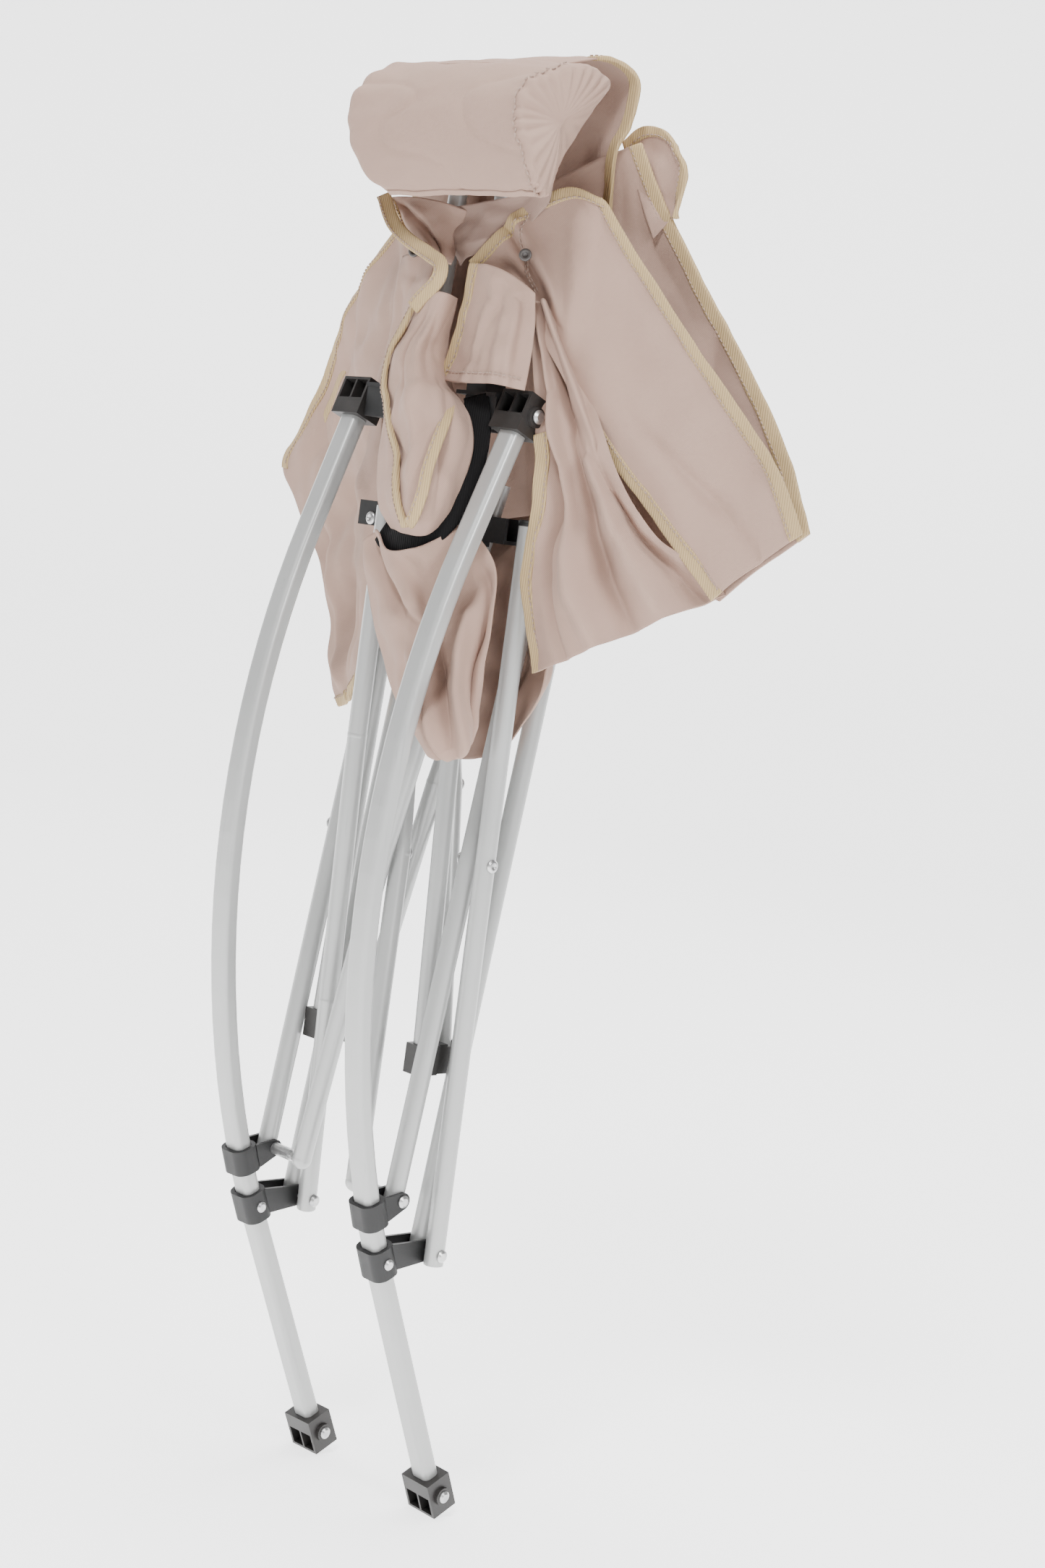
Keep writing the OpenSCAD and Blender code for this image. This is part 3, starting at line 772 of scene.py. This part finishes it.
# ---- headrest ----
def headrest():
    """A stuffed pad over the posts' tops, its right end a flat gusset with a gathered seam."""
    ring = [
        (-34, 1155, -84, 137), (-20, 1152, -82, 139), (-11, 1144, -80, 139), (-19, 1121, -80, 133),
        (-31, 1094, -78, 129), (-45, 1066, -64, 129), (-55, 1051, -50, 135), (-67, 1045, -46, 145),
        (-79, 1051, -52, 146), (-86, 1070, -70, 141), (-88, 1090, -82, 130), (-86, 1108, -88, 123),
        (-79, 1126, -89, 122), (-66, 1142, -88, 127), (-50, 1152, -86, 133),
    ]
    na, nu = 150, 150

    def around(a):
        x = a * len(ring)
        i, f = int(x) % len(ring), x - int(x)
        q = [Vector((*ring[(i + d) % len(ring)][:3], 0)) for d in (-1, 0, 1, 2)]
        e = [ring[(i + d) % len(ring)][3] for d in (-1, 0, 1, 2)]
        w = (
            -0.5 * f + f * f - 0.5 * f ** 3,
            1 - 2.5 * f * f + 1.5 * f ** 3,
            0.5 * f + 2 * f * f - 1.5 * f ** 3,
            -0.5 * f * f + 0.5 * f ** 3)
        p = sum((q[k].xyz * w[k] for k in range(4)), Vector((0, 0, 0)))
        return p.x, p.y, p.z, sum(e[k] * w[k] for k in range(4))

    loop = [around(k / na) for k in range(na)]
    cy, cz = -52.0, 1099.0
    verts, faces = [], []
    steps = [(i / nu) ** 1.0 for i in range(nu + 1)]
    for f in steps:
        s = (1 - (1 - f / 0.11) ** 2.5) ** 0.4 if f < 0.11 else 1.0
        if f > 0.965:
            s -= 0.05 * ((f - 0.965) / 0.035) ** 2
        near = math.exp(-((1 - f) / 0.05) ** 2)
        left = math.exp(-((f - 0.06) / 0.07) ** 2)
        for k, (y, z, xa, xb) in enumerate(loop):
            a = k / na
            x = xa + (xb - xa) * f
            if x > 70 and z > 1100:
                z = z - (x - 70) / 66 * 8 * (z - 1100) / 55
            front = 1.0 if y < -44 else 0.3
            rip = (
                1 + near * front * 0.030 * math.sin(a * 150 + 2 * math.sin(a * 37))
                + left * 0.022 * math.sin(a * 82))
            p = Vector((x, cy + (y - cy) * s * rip, cz + (z - cz) * s * rip)) * MM
            n = Vector((0, y - cy, z - cz)).normalized()
            soft = noise.fractal(Vector((p.x * 9, p.y * 16, p.z * 16)) + Vector((4, 9, 2)), 0.8, 2, 3) * 0.0034
            dent = (1 - abs(noise.noise(Vector((p.x * 9 + 5, p.y * 9, p.z * 26))))) ** 9
            verts.append(p + n * (soft - dent * 0.0020) * min(1, s * 1.2))
    for i in range(nu):
        for k in range(na):
            a, b = i * na + k, i * na + (k + 1) % na
            faces.append((a, b, b + na, a + na))
    for base, flip, out in ((0, False, -0.4), (nu * na, True, 1.0)):
        mid = sum((verts[base + k] for k in range(na)), Vector()) / na
        prev = [base + k for k in range(na)]
        for m in range(1, 9):
            r = m / 9
            cur = []
            for k in range(na):
                wave = 0.0016 * math.sin(k / na * 150) * (1 - r) ** 2 * (1 if out > 0 else 0)
                bulge = out * 0.0035 * math.sin(math.pi * min(1, r * 0.9))
                cur.append(len(verts))
                verts.append(verts[base + k].lerp(mid, r) + Vector((bulge + wave, 0, 0)))
            for k in range(na):
                a, b, p, q = prev[k], prev[(k + 1) % na], cur[k], cur[(k + 1) % na]
                faces.append((a, b, q, p) if flip else (b, a, p, q))
            prev = cur
        hub = len(verts)
        verts.append(mid + Vector((out * 0.0035, 0, 0)))
        for k in range(na):
            p, q = prev[k], prev[(k + 1) % na]
            faces.append((p, q, hub) if flip else (q, p, hub))
    o = add("headrest_pad", verts, faces, CLOTH, FC)
    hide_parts("headrest")
    row = [verts[(nu - 3) * na + k] for k in range(na)]
    seam = [
        (row[k] + Vector((-0.001, 0, 0)),
         Vector((0.3, row[k].y * 1000 - cy, row[k].z * 1000 - cz)).normalized())
        for k in range(int(na * 0.5), int(na * 0.97))]
    stitches(
        "headrest_end_seam", [(p + n * 0.0008, n) for p, n in seam], FC,
        step=0.005, length=0.0034, r=0.0007)
    low = []
    for i in range(14, nu - 1):
        cut = verts[i * na:(i + 1) * na]
        low.append(min(cut, key=lambda v: v.z + 0.45 * v.y))
    avg = [
        sum((low[max(0, min(len(low) - 1, i + d))] for d in range(-6, 7)), Vector()) / 13
        for i in range(len(low))]
    n = Vector((0, -0.45, -0.89))
    tape(
        "headrest_hem", [(p + n * 0.0004, Vector((0, 0.89, -0.45)), n) for p in avg], FC,
        width=0.0055, thick=0.0022, mat=CLOTH)
    stitches(
        "headrest_hem_stitching",
        [(p + Vector((0, -0.0035, 0.0055)), Vector((0, -0.9, -0.4))) for p in avg], FC)


headrest()


# ---- webbing loop ----
def band(name, pts, body, width=0.020, thick=0.0018, face=(0.5, -0.86, 0.0), mat=None, steps=120):
    line = [spline([mm(p) for p in pts], k / steps) for k in range(steps + 1)]
    verts, faces = [], []
    n = 12
    for k, p in enumerate(line):
        t = (line[min(k + 1, steps)] - line[max(k - 1, 0)]).normalized()
        f = Vector(face)
        f = (f - t * f.dot(t)).normalized()
        w = t.cross(f).normalized()
        for s in range(n):
            a = 2 * math.pi * s / n
            x = abs(math.cos(a)) ** 0.3 * (1 if math.cos(a) > 0 else -1)
            y = abs(math.sin(a)) ** 0.5 * (1 if math.sin(a) > 0 else -1)
            verts.append(p + w * x * width / 2 + f * y * thick / 2)
    for k in range(steps):
        for s in range(n):
            a, b = k * n + s, k * n + (s + 1) % n
            faces.append((a, b, b + n, a + n))
    faces.append(tuple(range(n - 1, -1, -1)))
    faces.append(tuple(steps * n + s for s in range(n)))
    return add(name, verts, faces, mat or WEB, body)


band("seat_webbing", [
    (58, -31, 899), (68, -33, 877), (71, -36, 854), (73, -42, 834), (72, -50, 813), (64, -60, 793),
                      (44, -65, 782), (15, -60, 780), (-6, -52, 787)], FC, width=0.020)


# ---- small metal and plastic details ----
def turned(name, prof, at, axis, mat, body, slot, n=40):
    """A turned piece: prof is radius and height in mm along axis."""
    ax = Vector(axis).normalized()
    h = Vector((0, 0, 1)) if abs(ax.z) < 0.9 else Vector((1, 0, 0))
    s = ax.cross(h).normalized()
    t = ax.cross(s)
    verts, faces = [], []
    for r, z in prof:
        for k in range(n):
            a = 2 * math.pi * k / n
            verts.append(mm(at) + (s * math.cos(a) + t * math.sin(a)) * r * MM + ax * z * MM)
    for j in range(len(prof) - 1):
        for k in range(n):
            a, b = j * n + k, j * n + (k + 1) % n
            faces.append((a, b, b + n, a + n))
    faces.append(tuple(range(n - 1, -1, -1)))
    m = (len(prof) - 1) * n
    faces.append(tuple(m + k for k in range(n)))
    return add(name, verts, faces, mat, body, slot)


RIVET = [(0.1, 0), (5.2, 0), (5.4, 0.5), (5.2, 1.2), (4.2, 2.0), (2.6, 2.5), (2.2, 2.2), (2.0, 1.6), (0.1, 1.5)]
CAP = [(0.1, -1), (8.3, -1), (8.6, 0), (8.6, 2.4), (8.2, 3.2), (7.2, 3.8), (0.1, 4.0)]
turned("left_slider_rivet", RIVET, (-71, -8.5, 795), (0, -1, 0), ZINC, "left_slider", "zinc")
turned("right_long_rivet", RIVET, (108, 3.8, 798), (1, 0, 0), ZINC, "right_long_arm", "zinc")
turned("right_mid_rivet", RIVET, (108, 5.6, 540), (1, 0, 0), ZINC, "right_long_arm", "zinc")
turned("right_short_mid_rivet", RIVET, (72.6, 6.9, 540), (-1, 0, 0), ZINC, "right_short_arm", "zinc")
turned("left_mid_rivet", RIVET, (-72.6, 6.9, 540), (1, 0, 0), ZINC, "left_short_arm", "zinc")
turned("left_mid_rivet_out", RIVET, (-88.4, 6.9, 540), (-1, 0, 0), ZINC, "left_short_arm", "zinc")
turned("cross_rivet", RIVET, (0, -18.6, 531), (0, -1, 0), ZINC, "left_cross_arm", "zinc")
turned("cross_rivet_back", RIVET, (0, 14.2, 531), (0, 1, 0), ZINC, "right_cross_arm", "zinc")
turned("rear_cross_rivet", RIVET, (0, 61.7, 589), (0, 1, 0), ZINC, "right_rear_arm", "zinc")
for nm, top, dr, body in (
        ("right_long_cap", (100.1, 3.7, 806), (0, -0.0075, 1), "right_long_arm"),
        ("left_short_cap", (-80.5, 39, 804), (0, 0.1215, 1), "left_short_arm"),
        ("right_short_cap", (80.5, 39, 804), (0, 0.1215, 1), "right_short_arm"),
        ("left_back_cap", (-80.5, 72, 790), (0, 0.1135, 1), "left_back_arm"),
        ("right_back_cap", (80.5, 72, 790), (0, 0.1135, 1), "right_back_arm")):
    turned(nm, CAP, top, dr, BLACK, body, "plastic")
EYE = [(2.2, 0.2), (2.1, 0.9), (2.8, 1.5), (4.0, 1.6), (4.8, 1.1), (5.0, 0.3), (4.6, 0.0)]
turned("right_eyelet", EYE, (88, -27, 1008), (0.55, -0.83, 0.1), DARKZINC, RF, "zinc")
turned("left_eyelet", EYE, (-20, -44, 1006), (0.3, -0.95, 0), DARKZINC, FC, "zinc")


# ---- floor and light ----
def stage():
    z = LOW.z
    me = bpy.data.meshes.new("floor")
    rows = [(-6, 0), (3.2, 0), (3.9, 0.12), (4.4, 0.5), (4.7, 1.2), (4.8, 5)]
    right, fwd = Vector((0.707, 0.707, 0)), Vector((-0.707, 0.707, 0))
    verts, faces = [], []
    for d, h in rows:
        for s in (-8, 8):
            p = right * s + fwd * d
            verts.append((p.x, p.y, z + h))
    for k in range(len(rows) - 1):
        faces.append((2 * k, 2 * k + 1, 2 * k + 3, 2 * k + 2))
    me.from_pydata(verts, [], faces)
    me.update()
    o = bpy.data.objects.new("floor", me)
    bpy.context.scene.collection.objects.link(o)
    k = Nodes("floor")
    k.b.inputs["Base Color"].default_value = (0.90, 0.90, 0.90, 1)
    k.b.inputs["Roughness"].default_value = 0.9
    k.b.inputs["Emission Color"].default_value = (1, 1, 1, 1)
    k.b.inputs["Emission Strength"].default_value = 2.0
    me.materials.append(k.mat)
    me.shade_smooth()


def light(name, at, to, size, power):
    d = bpy.data.lights.new(name, "AREA")
    d.size = size
    d.energy = power
    o = bpy.data.objects.new(name, d)
    bpy.context.scene.collection.objects.link(o)
    o.location = at
    o.rotation_euler = (Vector(to) - Vector(at)).to_track_quat("-Z", "Y").to_euler()


stage()
MID = (0.0, 0.0, 0.75)
light("key", (0.9, -1.9, 3.0), MID, 0.6, 84)
light("fill_right", (3.0, -0.6, 2.0), MID, 1.0, 62)
light("fill_left", (-2.6, -1.6, 1.4), MID, 2.0, 3)
light("top", (0.0, 0.0, 3.2), MID, 1.0, 74)
light("back", (-0.6, 2.8, 1.8), MID, 1.8, 22)
world = bpy.data.worlds.new("studio")
world.use_nodes = True
world.node_tree.nodes["Background"].inputs["Color"].default_value = (1, 1, 1, 1)
world.node_tree.nodes["Background"].inputs["Strength"].default_value = 0.28
bpy.context.scene.world = world
